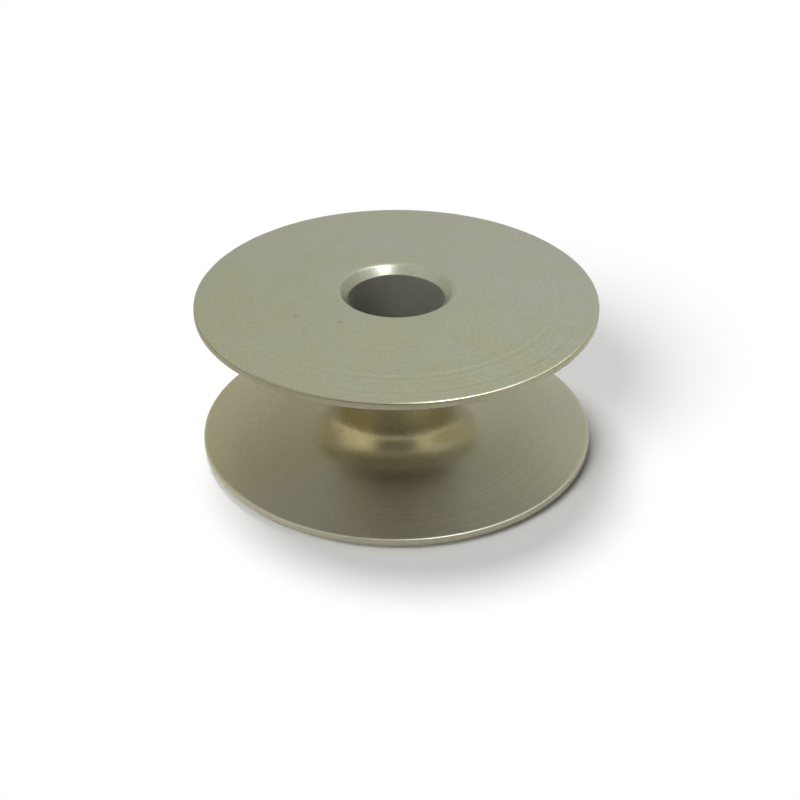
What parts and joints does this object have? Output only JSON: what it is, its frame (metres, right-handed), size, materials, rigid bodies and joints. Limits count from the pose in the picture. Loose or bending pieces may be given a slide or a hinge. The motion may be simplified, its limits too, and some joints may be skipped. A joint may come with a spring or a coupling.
{
  "type": "sewing machine bobbin",
  "caption": "Small plated metal spool: thin dished flanges on a tubular hub with a plain through bore, wound with thread and run in a sewing machine's bobbin case.",
  "frame": {"origin": "centre of the hub's lower end, on the surface that the bobbin stands on", "axes": "+Z along the hub's axis, out of the upper flange; the bobbin is the same all round, so +X and +Y are free"},
  "size_m": [0.025, 0.025, 0.0108],
  "materials": {
    "nickel_plate": "satin nickel plate over turned steel"
  },
  "bodies": {
    "root": {"bobbin": "nickel_plate"}
  },
  "joints": []
}
